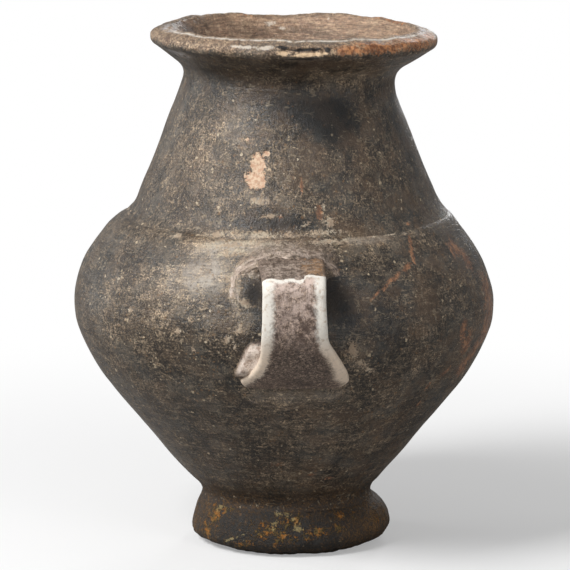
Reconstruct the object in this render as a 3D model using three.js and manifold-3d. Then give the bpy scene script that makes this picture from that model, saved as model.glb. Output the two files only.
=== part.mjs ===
import * as THREE from 'three';
import { mergeVertices } from 'three/addons/utils/BufferGeometryUtils.js';
import Module from 'manifold-3d';

// Biconical urn of dark burnished clay, built by hand, with one strap handle on its belly.
// Millimetres, +Z up. The urn stands on Z = 0 and its handle faces -Y.

// The axis of the pot stands behind the middle of its footprint, because of the handle.
const AXIS_Y = 14.5;

// Outside of the foot and body, and of the neck, as [height, radius].
const BODY_OUTLINE = [
  [0, 48.5], [4, 56], [9, 58.3], [19.5, 55], [28.5, 50], [34, 51.6], [38, 55.6],
  [54, 69.8], [70, 82.4], [87, 96.3], [104, 109], [127, 120.1], [140, 122.2], [152, 120.2],
  [167, 114.4], [184, 102.2], [190, 96.1], [192.5, 92.4],
];
const NECK_OUTLINE = [
  [192.5, 92.4], [196, 89.1], [200, 86.9], [209, 83.5], [222, 78], [244, 69.8],
  [260, 63.6], [266, 61.9], [271, 61.2],
];
const JUNCTION_Z = 192.5;

// Clay thickness, measured square to the wall, and the gap kept at every joint.
const WALL = 8;
const GAP = 0.3;

// Joint faces run from the outside of the wall to the inside, as heights.
const WALL_JOINT = { outside: 82, inside: 91 };
const NECK_JOINT = { outside: 192, inside: 199 };
const LIP_JOINT = { outside: 271, inside: 277 };
const JOINT_RISE = GAP * 1.4;

// Foot and floor.
const STANDING_INNER_R = 38.5;
const FOOT_HOLLOW_R = 40.5;
const FOOT_HOLLOW_Z = 20;
const FOOT_TOP_OUTSIDE_Z = 26;
const FLOOR_TOP_Z = 31;
const FLOOR_TOP_R = 42;
const FLOOR_SEAT_R = 45;

// Lip: an everted band with a sloping outer face and a raised crest.
const LIP_BEND = [61.6, 276.4];
const LIP_SPRING = [67.6, 280.4];
const LIP_EDGE = [82.6, 293.2];
const LIP_EDGE_ROUND = 4.5;
const CREST_R = 71.5;
const CREST_Z = 300;
const CREST_ROUND = 3.4;
const LIP_INSIDE = [60, 287];

// Strap handle: its centre line in the plane X = 0, as [distance from the axis, height].
const STRAP_LINE = [
  [88, 183], [102, 181.6], [124, 179], [136, 177.2], [141.6, 173.2], [142.6, 166],
  [142.4, 152], [138.2, 140.5], [128, 127.6], [114, 115.5], [100, 107],
];
const STRAP_WIDTHS = [58, 49, 38, 35.5, 35, 35, 36, 38, 47, 63, 68];
const STRAP_THICKNESS = 9.4;
const STRAP_STEPS = 24;
const STRAP_SIDES = 14;

// Tenons that go through the wall: width, height, and the two ends of their middle line.
const TENON_WIDTH = 26;
const TENON_HEIGHT = 8;
const UPPER_TENON = { from: [91, 182], to: [112, 180.4] };
const LOWER_TENON = { from: [102, 107.7], to: [122, 122.4] };

// Collars of clay smeared round the two roots: the stretch of the strap's line that each
// covers, as fractions of it, and how far it stands off the strap at the wall and at its end.
const UPPER_COLLAR = { wall: 0.03, end: 0.15, atWall: 5, atEnd: 1 };
const LOWER_COLLAR = { wall: 0.985, end: 0.83, atWall: 5, atEnd: 1 };
const COLLAR_STEPS = 6;

// Dent pressed into the wall behind the handle, which makes room for the fingers.
const DENT_Z = 164;
const DENT_DEPTH = 4.5;
const DENT_HALF_WIDTH = 27;
const DENT_HALF_HEIGHT = 17;

// How far the hand-built pot is out of true: sideways shifts, and slopes of height to width.
const FOOT_SHIFT = 3.3;
const SHOULDER_SHIFT = -1.2;
const NECK_SHIFT = 2.2;
const LIP_SHIFT = 4.3;
const RIM_SLOPE = 0.0205;
const RIDGE_SLOPE = 0.03;

// Facets round the pot, and steps of height on each side of a wall band.
const SEGMENTS = 48;
const LOWER_STEPS = 7;
const BELLY_STEPS = 11;
const NECK_STEPS = 6;
const FOOT_STEPS = 9;

const wasm = await Module();
wasm.setup();

// Smooth step from 0 at a to 1 at b.
function ramp(a, b, value) {
  return THREE.MathUtils.smoothstep(value, a, b);
}

// Radius at a height, on a smooth curve through [height, radius] stations.
function radiusAt(stations, z) {
  const last = stations.length - 1;
  let i = 0;
  while (i < last - 1 && z > stations[i + 1][0]) i += 1;
  const [z0, r0] = stations[i];
  const [z1, r1] = stations[i + 1];
  const [zBefore, rBefore] = stations[Math.max(i - 1, 0)];
  const [zAfter, rAfter] = stations[Math.min(i + 2, last)];
  const span = z1 - z0;
  const t = (z - z0) / span;
  const slope0 = span * (r1 - rBefore) / (z1 - zBefore);
  const slope1 = span * (rAfter - r0) / (zAfter - z0);
  const t2 = t * t;
  const t3 = t2 * t;
  return (2 * t3 - 3 * t2 + 1) * r0 + (t3 - 2 * t2 + t) * slope0
    + (3 * t2 - 2 * t3) * r1 + (t3 - t2) * slope1;
}

function outerRadius(z) {
  return radiusAt(z < JUNCTION_Z ? BODY_OUTLINE : NECK_OUTLINE, z);
}

// The inside follows the outside at the wall's thickness, and rounds its creases.
function innerRadius(z) {
  const reach = 6;
  const slope = (outerRadius(z + reach) - outerRadius(z - reach)) / (2 * reach);
  return outerRadius(z) - WALL * Math.hypot(1, slope);
}

// Points of one side of the wall between two heights.
function side(radius, fromZ, toZ, steps) {
  return Array.from({ length: steps + 1 }, (_, i) => {
    const z = THREE.MathUtils.lerp(fromZ, toZ, i / steps);
    return new THREE.Vector2(radius(z), z);
  });
}

// Points of an arc of a circle, from one angle to another in degrees.
function arc(x, y, radius, fromAngle, toAngle, steps) {
  const from = THREE.MathUtils.degToRad(fromAngle);
  const to = THREE.MathUtils.degToRad(toAngle);
  const curve = new THREE.EllipseCurve(x, y, radius, radius, from, to, to < from);
  return curve.getPoints(steps);
}

// Solid of revolution about Z from a closed outline, or from one that ends on the axis.
function revolve(points, closed = true) {
  const outline = closed ? [...points, points[0].clone()] : points;
  const geometry = new THREE.LatheGeometry(outline, SEGMENTS);
  geometry.rotateX(Math.PI / 2);
  return geometry;
}

// Closed skin through rings of points, capped at both ends.
function loft(rings) {
  const count = rings[0].length;
  const points = rings.flat();
  const top = (rings.length - 1) * count;
  const faces = [];
  for (let k = 0; k < top; k += count) {
    for (let j = 0; j < count; j += 1) {
      const next = (j + 1) % count;
      faces.push(k + j, k + next, k + count + next);
      faces.push(k + j, k + count + next, k + count + j);
    }
  }
  for (let j = 1; j < count - 1; j += 1) {
    faces.push(0, j + 1, j);
    faces.push(top, top + j, top + j + 1);
  }
  const geometry = new THREE.BufferGeometry();
  geometry.setFromPoints(points);
  geometry.setIndex(faces);
  return geometry;
}

// Flattened oval with straight flanks, as the section of the strap and the tenons.
function ovalRing(centre, across, up, halfWidth, halfHeight, sides) {
  const power = 0.5;
  return Array.from({ length: sides }, (_, j) => {
    const angle = 2 * Math.PI * (j + 0.5) / sides;
    const c = Math.cos(angle);
    const s = Math.sin(angle);
    const u = halfWidth * Math.sign(c) * Math.abs(c) ** power;
    const v = halfHeight * Math.sign(s) * Math.abs(s) ** power;
    return centre.clone().addScaledVector(across, u).addScaledVector(up, v);
  });
}

// Geometry to a solid for cutting and joining, and back.
function toSolid(geometry) {
  const bare = geometry.clone();
  bare.deleteAttribute('normal');
  bare.deleteAttribute('uv');
  const welded = mergeVertices(bare, 1e-4);
  return new wasm.Manifold(new wasm.Mesh({
    numProp: 3,
    vertProperties: new Float32Array(welded.attributes.position.array),
    triVerts: new Uint32Array(welded.index.array),
  }));
}

function toGeometry(solid) {
  const mesh = solid.getMesh();
  const geometry = new THREE.BufferGeometry();
  geometry.setAttribute('position', new THREE.BufferAttribute(mesh.vertProperties, 3));
  geometry.setIndex(new THREE.BufferAttribute(mesh.triVerts, 1));
  return geometry;
}

// Moves every vertex by a rule of the form (point) => void.
function reshape(geometry, rule) {
  const position = geometry.attributes.position;
  const point = new THREE.Vector3();
  for (let i = 0; i < position.count; i += 1) {
    point.fromBufferAttribute(position, i);
    rule(point);
    position.setXYZ(i, point.x, point.y, point.z);
  }
  return geometry;
}

// The dent moves the wall towards the axis, on the handle's side only.
function dent(point) {
  if (point.y > 0) return;
  const across = point.x / DENT_HALF_WIDTH;
  const along = (point.z - DENT_Z) / DENT_HALF_HEIGHT;
  const depth = DENT_DEPTH * Math.exp(-across * across - along * along);
  const shrink = 1 - depth / Math.hypot(point.x, point.y);
  point.x *= shrink;
  point.y *= shrink;
}

// The pot isn't true: foot and lip stand to the right of the body, the rim slopes down to the
// right, and the foot's ridge slopes up to the right.
function lean(point) {
  const z = point.z;
  const ridge = ramp(0, 9, z) - ramp(14, 28, z);
  point.z += (RIDGE_SLOPE * ridge - RIM_SLOPE * ramp(225, 296, z)) * point.x;
  point.x += FOOT_SHIFT * (1 - ramp(8, 45, z)) + SHOULDER_SHIFT * ramp(110, 170, z)
    + NECK_SHIFT * ramp(182, 200, z) + LIP_SHIFT * ramp(258, 293, z);
}

// Band of wall between two joint faces.
function wallBand(lower, upper, steps) {
  const outside = side(outerRadius, lower.outside + JOINT_RISE, upper.outside, steps);
  const inside = side(innerRadius, upper.inside, lower.inside + JOINT_RISE, steps);
  return revolve([...outside, ...inside]);
}

// Flared ring foot, hollow below, with a top that slopes down to the inside.
function footRing() {
  const outside = side(outerRadius, 0, FOOT_TOP_OUTSIDE_Z, FOOT_STEPS);
  const seatInner = new THREE.Vector2(FOOT_HOLLOW_R, FOOT_HOLLOW_Z);
  const springing = new THREE.Vector2(STANDING_INNER_R + 0.4, 4);
  const standing = new THREE.Vector2(STANDING_INNER_R, 0);
  return revolve([...outside, seatInner, springing, standing]);
}

// Height of the foot's sloping top at a radius.
function footTopZ(radius) {
  const outer = outerRadius(FOOT_TOP_OUTSIDE_Z);
  const slope = (FOOT_TOP_OUTSIDE_Z - FOOT_HOLLOW_Z) / (outer - FOOT_HOLLOW_R);
  return FOOT_HOLLOW_Z + slope * (radius - FOOT_HOLLOW_R);
}

// Floor of the pot, a disc let into the top of the foot.
function floorDisc() {
  const under = footTopZ(FOOT_HOLLOW_R) + JOINT_RISE;
  return revolve([
    new THREE.Vector2(0, under),
    new THREE.Vector2(FOOT_HOLLOW_R, under),
    new THREE.Vector2(FLOOR_SEAT_R, footTopZ(FLOOR_SEAT_R) + JOINT_RISE),
    new THREE.Vector2(FLOOR_TOP_R, FLOOR_TOP_Z),
    new THREE.Vector2(0, FLOOR_TOP_Z - 1),
  ], false);
}

// Lower wall, which stands on the foot and round the floor.
function lowerWall() {
  const startZ = FOOT_TOP_OUTSIDE_Z + JOINT_RISE;
  const seatR = FLOOR_SEAT_R + GAP;
  const outside = side(outerRadius, startZ, WALL_JOINT.outside, LOWER_STEPS);
  const inside = side(innerRadius, WALL_JOINT.inside, FLOOR_TOP_Z + 9, LOWER_STEPS - 2);
  return revolve([
    ...outside,
    ...inside,
    new THREE.Vector2(FLOOR_TOP_R + 2, FLOOR_TOP_Z + 1.4),
    new THREE.Vector2(FLOOR_TOP_R + GAP, FLOOR_TOP_Z),
    new THREE.Vector2(seatR, footTopZ(seatR) + JOINT_RISE),
  ]);
}

// Everted lip, a coil laid on the neck and pressed out to a band.
function rimLip() {
  const spring = new THREE.Vector2(...LIP_SPRING);
  const edge = new THREE.Vector2(...LIP_EDGE);
  const low = LIP_JOINT.outside + JOINT_RISE;
  const outside = new THREE.QuadraticBezierCurve(
    new THREE.Vector2(outerRadius(LIP_JOINT.outside), low),
    new THREE.Vector2(...LIP_BEND),
    spring,
  ).getPoints(4);
  const rounded = arc(edge.x - LIP_EDGE_ROUND, edge.y, LIP_EDGE_ROUND, -50, 75, 5);
  const crest = arc(CREST_R, CREST_Z - CREST_ROUND, CREST_ROUND, 60, 150, 4);
  const throat = new THREE.Vector2(innerRadius(LIP_JOINT.outside), LIP_JOINT.inside + JOINT_RISE);
  return revolve([...outside, ...rounded, ...crest, new THREE.Vector2(...LIP_INSIDE), throat]);
}

// Section of the strap at a fraction t of its line, grown by swell on every side.
function strapRing(t, swell) {
  const line = new THREE.CatmullRomCurve3(
    STRAP_LINE.map(([out, z]) => new THREE.Vector3(0, -out, z)),
  );
  const across = new THREE.Vector3(1, 0, 0);
  const up = new THREE.Vector3().crossVectors(line.getTangent(t), across).normalize();
  const last = STRAP_LINE.length - 1;
  const i = Math.min(Math.floor(t * last), last - 1);
  const width = THREE.MathUtils.lerp(STRAP_WIDTHS[i], STRAP_WIDTHS[i + 1], t * last - i);
  return ovalRing(
    line.getPoint(t), across, up, width / 2 + swell, STRAP_THICKNESS / 2 + swell, STRAP_SIDES,
  );
}

// The strap, swept along its line, with its flat side square to the line.
function strapLoft(swell) {
  return loft(Array.from({ length: STRAP_STEPS + 1 }, (_, k) => strapRing(k / STRAP_STEPS, swell)));
}

// Straight tenon through the wall.
function tenon({ from, to }, swell) {
  const start = new THREE.Vector3(0, -from[0], from[1]);
  const end = new THREE.Vector3(0, -to[0], to[1]);
  const across = new THREE.Vector3(1, 0, 0);
  const along = end.clone().sub(start).normalize();
  const up = new THREE.Vector3().crossVectors(along, across);
  start.addScaledVector(along, -swell);
  const rings = [start, end].map((centre) => ovalRing(
    centre, across, up, TENON_WIDTH / 2 + swell, TENON_HEIGHT / 2 + swell, STRAP_SIDES,
  ));
  return loft(rings);
}

// Solid that fills the pot's outside, a joint gap larger, to cut what sits on the wall.
function bodyCutter() {
  const outside = side((z) => outerRadius(z) + GAP, 60, JUNCTION_Z - 0.01, 24);
  const points = [new THREE.Vector2(0, 60), ...outside, new THREE.Vector2(0, JUNCTION_Z - 0.01)];
  return toSolid(reshape(revolve(points, false), dent));
}

function handleStrap() {
  return toGeometry(toSolid(strapLoft(0))
    .subtract(bodyCutter())
    .add(toSolid(tenon(UPPER_TENON, 0)))
    .add(toSolid(tenon(LOWER_TENON, 0))));
}

function bellyWall() {
  const band = toSolid(reshape(wallBand(WALL_JOINT, NECK_JOINT, BELLY_STEPS), dent));
  return toGeometry(band
    .subtract(toSolid(tenon(UPPER_TENON, GAP)))
    .subtract(toSolid(tenon(LOWER_TENON, GAP))));
}

// Clay smeared round a root of the strap, thick at the wall and thin along the strap.
function rootCollar({ wall, end, atWall, atEnd }) {
  const rings = Array.from({ length: COLLAR_STEPS + 1 }, (_, k) => {
    const part = k / COLLAR_STEPS;
    const swell = THREE.MathUtils.lerp(atWall, atEnd, part);
    return strapRing(THREE.MathUtils.lerp(wall, end, part), swell);
  });
  const sleeve = loft(wall < end ? rings : rings.reverse());
  return toGeometry(toSolid(sleeve)
    .subtract(bodyCutter())
    .subtract(toSolid(strapLoft(GAP))));
}

const burnished = { color: 0x2d2521, roughness: 0.45, metalness: 0 };
const worn = { color: 0x3a3029, roughness: 0.6, metalness: 0 };
const pale = { color: 0x7a6350, roughness: 0.75, metalness: 0 };

const urn = new THREE.Group();
urn.position.y = AXIS_Y;

function addPiece(name, geometry, finish) {
  const mesh = new THREE.Mesh(reshape(geometry, lean), new THREE.MeshStandardMaterial(finish));
  mesh.name = name;
  urn.add(mesh);
}

addPiece('foot_ring', footRing(), worn);
addPiece('floor_disc', floorDisc(), worn);
addPiece('lower_wall', lowerWall(), burnished);
addPiece('belly_wall', bellyWall(), burnished);
addPiece('neck_wall', wallBand(NECK_JOINT, LIP_JOINT, NECK_STEPS), burnished);
addPiece('rim_lip', rimLip(), worn);
addPiece('handle_strap', handleStrap(), pale);
addPiece('upper_root_collar', rootCollar(UPPER_COLLAR), pale);
addPiece('lower_root_collar', rootCollar(LOWER_COLLAR), pale);

export default urn;
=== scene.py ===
import math

import bmesh
import bpy
import numpy as np
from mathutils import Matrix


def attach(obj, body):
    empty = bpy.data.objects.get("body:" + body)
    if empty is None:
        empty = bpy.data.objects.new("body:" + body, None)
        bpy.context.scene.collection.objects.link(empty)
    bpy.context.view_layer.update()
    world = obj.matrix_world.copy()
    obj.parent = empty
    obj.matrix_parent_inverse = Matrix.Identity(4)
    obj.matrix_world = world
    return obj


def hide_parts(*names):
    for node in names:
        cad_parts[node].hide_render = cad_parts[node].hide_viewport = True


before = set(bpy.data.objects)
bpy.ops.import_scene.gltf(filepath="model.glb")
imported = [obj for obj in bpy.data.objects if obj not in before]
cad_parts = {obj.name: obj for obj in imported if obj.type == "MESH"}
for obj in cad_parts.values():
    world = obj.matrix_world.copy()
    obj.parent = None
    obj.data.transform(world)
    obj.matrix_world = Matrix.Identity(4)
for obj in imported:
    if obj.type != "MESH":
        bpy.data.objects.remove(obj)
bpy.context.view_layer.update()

# The photographer's view: a long lens a little left of the handle and above the belly.
# The pot's axis stands 14.5 mm behind the origin. Sizes here are in metres.
AXIS_Y = 0.0145
VIEW_DISTANCE = 2.2
VIEW_HEIGHT = 0.561
VIEW_TURN = math.radians(2.5)
AIM_HEIGHT = 0.1488
LENS = 243.9


def look_at(thing, target):
    """Turns a camera or lamp so that its -Z points at the target, with +Y up."""
    away = np.array(thing.location) - np.array(target)
    length = np.linalg.norm(away)
    thing.rotation_euler = (math.acos(away[2] / length), 0.0, math.atan2(away[0], -away[1]),)


view = bpy.data.objects.new("view", bpy.data.cameras.new("view"))
bpy.context.scene.collection.objects.link(view)
view.data.lens = LENS
view.data.sensor_width = 36.0
view.location = (
    -VIEW_DISTANCE * math.sin(VIEW_TURN),
    AXIS_Y - VIEW_DISTANCE * math.cos(VIEW_TURN),
    VIEW_HEIGHT,
)
look_at(view, (0.0, AXIS_Y, AIM_HEIGHT))
bpy.context.scene.camera = view
bpy.context.scene.view_settings.view_transform = "Standard"

# Studio light: a large soft box high on the left, a weaker one low on the right, and an
# upright strip behind the pot on each side, which draws a line of light along its edges.
# Each is (name, place, target height, width, height, power in watts).
LAMPS = (
    ("key_box", (-1.17, -0.92, 1.5), 0.16, 0.7, 0.8, 42.0),
    ("fill_box", (1.2, -1.5, 0.7), 0.16, 0.8, 0.8, 7.0),
    ("edge_strip_left", (-0.95, 0.55, 0.35), 0.17, 0.2, 0.9, 2.5),
    ("edge_strip_right", (0.36, 1.15, 0.5), 0.2, 0.1, 0.6, 2.6),
)
for name, place, target, width, height, power in LAMPS:
    lamp = bpy.data.objects.new(name, bpy.data.lights.new(name, "AREA"))
    bpy.context.scene.collection.objects.link(lamp)
    lamp.data.shape = "RECTANGLE"
    lamp.data.size = width
    lamp.data.size_y = height
    lamp.data.energy = power
    lamp.location = place
    look_at(lamp, (0.0, AXIS_Y, target))


def node(at, kind, inputs=None, **settings):
    """A shader node with its settings and inputs, in the node tree that `at` is or belongs to.
    An input is a value, or a socket to link."""
    tree = at.id_data
    made = tree.nodes.new("ShaderNode" + kind)
    for key, value in settings.items():
        setattr(made, key, value)
    for key, value in (inputs or {}).items():
        if isinstance(value, bpy.types.NodeSocket):
            tree.links.new(value, made.inputs[key])
        else:
            made.inputs[key].default_value = value
    return made


def socket_in(values):
    """The first socket among some values, by which the others find their node tree."""
    return next(value for value in values if isinstance(value, bpy.types.NodeSocket))


def lay(below, share, above, how="MIX"):
    """Colour laid over another one by a share from 0 to 1."""
    at = socket_in((below, share, above))
    inputs = {0: share, 6: below, 7: above}
    return node(at, "Mix", inputs, data_type="RGBA", blend_type=how).outputs[2]


def blend(share, first, second):
    """A number between two others: the first at a share of 0, the second at 1."""
    return node(share, "Mix", {0: share, 2: first, 3: second}, data_type="FLOAT").outputs[0]


def reckon(operation, *values):
    """One sum on numbers or sockets."""
    inputs = dict(enumerate(values))
    return node(socket_in(values), "Math", inputs, operation=operation).outputs[0]


def span(value, low, high, first=0.0, last=1.0):
    """Smooth step of a value from low to high, put on the scale first to last."""
    return node(value, "MapRange", {
        "Value": value, "From Min": low, "From Max": high, "To Min": first, "To Max": last,
    }, interpolation_type="SMOOTHSTEP").outputs[0]


# The paper sweep round the pot is white to the camera, grey in gloss, because most of the
# studio is unlit, and a dimmer white light on everything else.
SOFT_WORLD = 0.2
GLOSSY_WORLD = 0.42
world = bpy.data.worlds.new("paper_sweep")
bpy.context.scene.world = world
world.use_nodes = True
tree = world.node_tree
tree.nodes.clear()
path = node(tree, "LightPath").outputs
dim = blend(path["Is Glossy Ray"], SOFT_WORLD, GLOSSY_WORLD)
glow = node(tree, "Background", {
    "Color": (1.0, 1.0, 1.0, 1.0), "Strength": blend(path["Is Camera Ray"], dim, 1.0),
})
node(tree, "OutputWorld", {"Surface": glow.outputs[0]})

# The floor is a wide sheet of white paper. Near the pot it takes the pot's shadow, and farther
# off it runs into the same white as the sweep. Other light finds it a plain grey.
FLOOR_HALF = 6.0
SHADOW_NEAR = 0.2
SHADOW_FAR = 0.62
SHADOW_LIFT = 0.3
SEEN_BY_POT = (0.36, 0.35, 0.34, 1.0)
SEEN_BY_CAMERA = (0.9, 0.9, 0.9, 1.0)
floor_mesh = bpy.data.meshes.new("paper_floor")
floor_mesh.from_pydata(
    [(x * FLOOR_HALF, y * FLOOR_HALF, 0.0) for x, y in ((-1, -1), (1, -1), (1, 1), (-1, 1))],
    [], [(0, 1, 2, 3)],
)
floor = bpy.data.objects.new("paper_floor", floor_mesh)
bpy.context.scene.collection.objects.link(floor)
paper = bpy.data.materials.new("white_paper")
paper.use_nodes = True
tree = paper.node_tree
shader = tree.nodes["Principled BSDF"]
shader.inputs["Roughness"].default_value = 0.9
path = node(tree, "LightPath").outputs
looked_at = reckon("MAXIMUM", path["Is Camera Ray"], path["Is Transmission Ray"])
tree.links.new(lay(SEEN_BY_POT, looked_at, SEEN_BY_CAMERA), shader.inputs["Base Color"])
from_pot = node(tree, "VectorMath", {
    0: node(tree, "TexCoord").outputs["Object"],
}, operation="LENGTH").outputs["Value"]
far = span(from_pot, SHADOW_NEAR, SHADOW_FAR, SHADOW_LIFT, 1.0)
lit = node(tree, "Emission", {"Color": (1.0, 1.0, 1.0, 1.0), "Strength": 1.0})
sheet = node(tree, "MixShader", {
    0: reckon("MULTIPLY", far, looked_at), 1: shader.outputs[0], 2: lit.outputs[0],
})
tree.links.new(sheet.outputs[0], tree.nodes["Material Output"].inputs["Surface"])
floor_mesh.materials.append(paper)

# Foot ring: a coil of coarse clay pressed out to a flared ring, on which the pot stands. It is
# hollow below, and its ridge is worn and crusted with ochre earth. From here on, sizes are in
# millimetres, places round the pot are turns from the handle, and new_piece() makes metres.
POT_OUTLINE = np.array((
    (0, 48.5), (4, 56), (9, 58.3), (19.5, 55), (28.5, 50), (34, 51.6), (38, 55.6),
    (54, 69.8), (70, 82.4), (87, 96.3), (104, 109), (127, 120.1), (140, 122.2), (152, 120.2),
    (167, 114.4), (184, 102.2), (190, 96.1), (192.5, 92.4),
))
NECK_OUTLINE = np.array((
    (192.5, 92.4), (196, 89.1), (200, 86.9), (209, 83.5), (222, 78), (244, 69.8),
    (260, 63.6), (266, 61.9), (271, 61.2), (281, 62.6),
))
JUNCTION_Z = 192.5
WALL = 8.0
MEAN_R = 95.0
SEAM = 0.04
COLUMNS = 512
STEP_OUTSIDE = 1.3
STEP_INSIDE = 2.2
DENT_DEPTH = 4.5
DENT_R = 114.0

FOOT_TOP = 26.0
FOOT_HOLLOW_R = 40.5
FOOT_HOLLOW_Z = 20.0
STANDING_R = 38.5

turns = np.linspace(-math.pi, math.pi, COLUMNS, endpoint=False)[:, None]


def ramp(low, high, value):
    """Smooth step: 0 up to low, 1 from high, and 3t^2 - 2t^3 between them. Where low is the
    greater one it falls from 1 to 0."""
    t = np.clip((value - low) / (high - low), 0.0, 1.0)
    return t * t * (3.0 - 2.0 * t)


def bell(value, middle, width):
    """Bell curve: 1 in the middle, and 1/e at the width from it."""
    return np.exp(-((value - middle) / width) ** 2)


def radius_at(outline, z):
    """Radius at heights z: a cubic between two stations, whose slope at each station is that
    of the chord between the stations on its two sides."""
    height, radius = outline.T
    slope = np.empty_like(radius)
    slope[1:-1] = (radius[2:] - radius[:-2]) / (height[2:] - height[:-2])
    slope[0] = (radius[1] - radius[0]) / (height[1] - height[0])
    slope[-1] = (radius[-1] - radius[-2]) / (height[-1] - height[-2])
    i = np.clip(np.searchsorted(height, z, side="right") - 1, 0, len(height) - 2)
    span = height[i + 1] - height[i]
    t = (z - height[i]) / span
    return (
        (2 * t ** 3 - 3 * t ** 2 + 1) * radius[i]
        + (t ** 3 - 2 * t ** 2 + t) * span * slope[i]
        + (3 * t ** 2 - 2 * t ** 3) * radius[i + 1]
        + (t ** 3 - t ** 2) * span * slope[i + 1]
    )


def outer_radius(z):
    """Outside of the foot and body below the crease, and of the neck above it."""
    z = np.asarray(z, float)
    return np.where(z < JUNCTION_Z, radius_at(POT_OUTLINE, z), radius_at(NECK_OUTLINE, z))


def inner_radius(z):
    """The outside less the wall's thickness, taken square to a slope averaged over 12 mm."""
    slope = (outer_radius(z + 6.0) - outer_radius(z - 6.0)) / 12.0
    return outer_radius(z) - WALL * np.hypot(1.0, slope)


def waves(turn, height, reach, seed, terms=16):
    """Unevenness left by the hand, about -1 to 1: a sum of cosines of arc and height, each
    about `reach` mm long, in random directions, with whole numbers of waves round the pot."""
    rng = np.random.default_rng(seed)
    heading = rng.uniform(0.0, 2.0 * math.pi, terms)
    phase = rng.uniform(0.0, 2.0 * math.pi, terms)
    length = reach * rng.uniform(0.7, 1.5, terms)
    around = np.round(2.0 * math.pi * MEAN_R / length * np.cos(heading))
    along = 2.0 * math.pi / length * np.sin(heading)
    total = np.zeros(np.broadcast_shapes(np.shape(turn), np.shape(height)))
    for k, m, p in zip(around, along, phase):
        total += np.cos(k * turn + m * height + p)
    return total * math.sqrt(0.7 / terms)


def skin(turn, z):
    """How far the outside stands out of its true outline, in mm: shallow hollows of the hand,
    a burnisher's facets and grit, deeper on the worn foot, a groove at the crease, which
    smeared clay fills on the right, a slack belly, and a waist dug on the right."""
    worn = 1.0 - ramp(15, 34, z)
    filled = ramp(0.6, 1.1, turn) * ramp(2.4, 1.9, turn)
    groove = bell(z, JUNCTION_Z + 0.8 * waves(turn, 0.0, 60.0, 5), 1.3)
    return (
        -0.3
        + 0.26 * waves(turn, z, 62.0, 11)
        + 0.10 * waves(turn, z, 22.0, 12)
        + (0.035 + 0.06 * worn) * waves(turn, z, 7.0, 13)
        + 0.22 * worn * (waves(turn, z, 15.0, 14) - 1.0)
        - 0.55 * groove * (1.0 - filled) + filled * bell(z, 194, 7)
        - 0.45 * bell(z, 138, 10)
        - 1.5 * bell(z, 26, 5) * ramp(0.3, 0.9, np.sin(turn))
    )


def rows(start, stop, step):
    """Heights from start to stop, about a step apart."""
    return np.linspace(start, stop, max(2, round(abs(stop - start) / step) + 1))


def raised(radius, z, relief):
    """An outline moved by a relief along its own normal, which points to its right."""
    along_r, along_z = np.gradient(radius), np.gradient(z)
    length = np.hypot(along_r, along_z)
    return radius + relief * along_z / length, z - relief * along_r / length


def outside(start, stop):
    """The pot's outside between two heights: the outline plus the skin along its normal, less
    the dent. The normal is that of a chord 2 mm high, the same for two bands that meet."""
    z = rows(start, stop, STEP_OUTSIDE)
    slope = (outer_radius(z + 1.0) - outer_radius(z - 1.0)) / 2.0
    out = skin(turns, z) / np.hypot(1.0, slope)
    return outer_radius(z) + out - dent(turns, z), z - slope * out, np.zeros(len(z))


def inside(start, stop):
    """The pot's inside between two heights, from the higher to the lower one."""
    z = rows(start, stop, STEP_INSIDE)
    calm = 1.0 - ramp(262, 276, z)
    relief = -0.4 + 0.3 * calm * waves(turns, z, 40.0, 51)
    radius, height = raised(inner_radius(z), z, relief)
    return radius - dent(turns, z), height, np.ones(len(z))


def joint(*points):
    """Plain points of an outline, as (radius, height)."""
    radius, z = np.array(points, float).T
    flat = np.zeros((COLUMNS, 1))
    return radius + flat, z + flat, np.full(len(z), 0.5)


def dent(turn, z):
    """The finger-deep hollow behind the handle: a bell curve across and up, towards the axis."""
    deep = DENT_DEPTH * bell(DENT_R * np.sin(turn), 0, 27) * bell(z, 164, 17)
    return np.where(np.cos(turn) > 0.0, deep, 0.0)


def outline(*runs):
    """The runs of an outline joined: its radii and heights, each a row a turn, and for each
    row of the outline 0 on the outside, 1 on the inside and 0.5 in a joint."""
    return (
        np.concatenate([run[0] for run in runs], axis=1),
        np.concatenate([run[1] for run in runs], axis=1),
        np.concatenate([run[2] for run in runs]),
    )


def spun(radius, z):
    """An outline spun round the axis, x = r sin(turn), y = -r cos(turn), and then leaned: foot
    and lip shifted to the right, the rim sloping down and the foot's ridge up to the right."""
    x, y = radius * np.sin(turns), -radius * np.cos(turns)
    return leaned(x, y, z)


def leaned(x, y, z):
    """The pot's lean, each part of it faded in by a smooth step of the height."""
    ridge = 0.03 * (ramp(0, 9, z) - ramp(14, 28, z)) - 0.0205 * ramp(225, 296, z)
    shift = (
        3.3 * (1 - ramp(8, 45, z)) - 1.2 * ramp(110, 170, z)
        + 2.2 * ramp(182, 200, z) + 4.3 * ramp(258, 293, z)
    )
    return np.stack((x + shift, y, z + ridge * x), axis=-1)


def apart(turn, at):
    """The turn from a place given in degrees, between -pi and pi."""
    return (turn - math.radians(at) + math.pi) % (2.0 * math.pi) - math.pi


def near(places, radius, z, turn=turns):
    """How near each point of a wall is to the nearest of some marks: 1 in a mark's middle, 0
    on its edge, less outside. A mark is (turn and height of its middle, half its width, half
    its height, and its tilt to the right), in degrees and mm."""
    best = np.full(np.shape(z), -1.0)
    for at, height, wide, high, tilt in places:
        across, up = apart(turn, at) * radius, z - height
        c, s = math.cos(math.radians(tilt)), math.sin(math.radians(tilt))
        reach = np.hypot((across * c + up * s) / wide, (up * c - across * s) / high)
        best = np.maximum(best, 1.0 - reach)
    return best


def soft(places, radius, z, turn=turns):
    """Broad lighter and darker areas, among them painted highlights and painted shade: the sum of
    bell curves, each (turn, height, half width, half height, amount)."""
    total = np.zeros(np.shape(z))
    for at, height, wide, high, amount in places:
        total += amount * bell(apart(turn, at) * radius, 0, wide) * bell(z, height, high)
    return total


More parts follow.
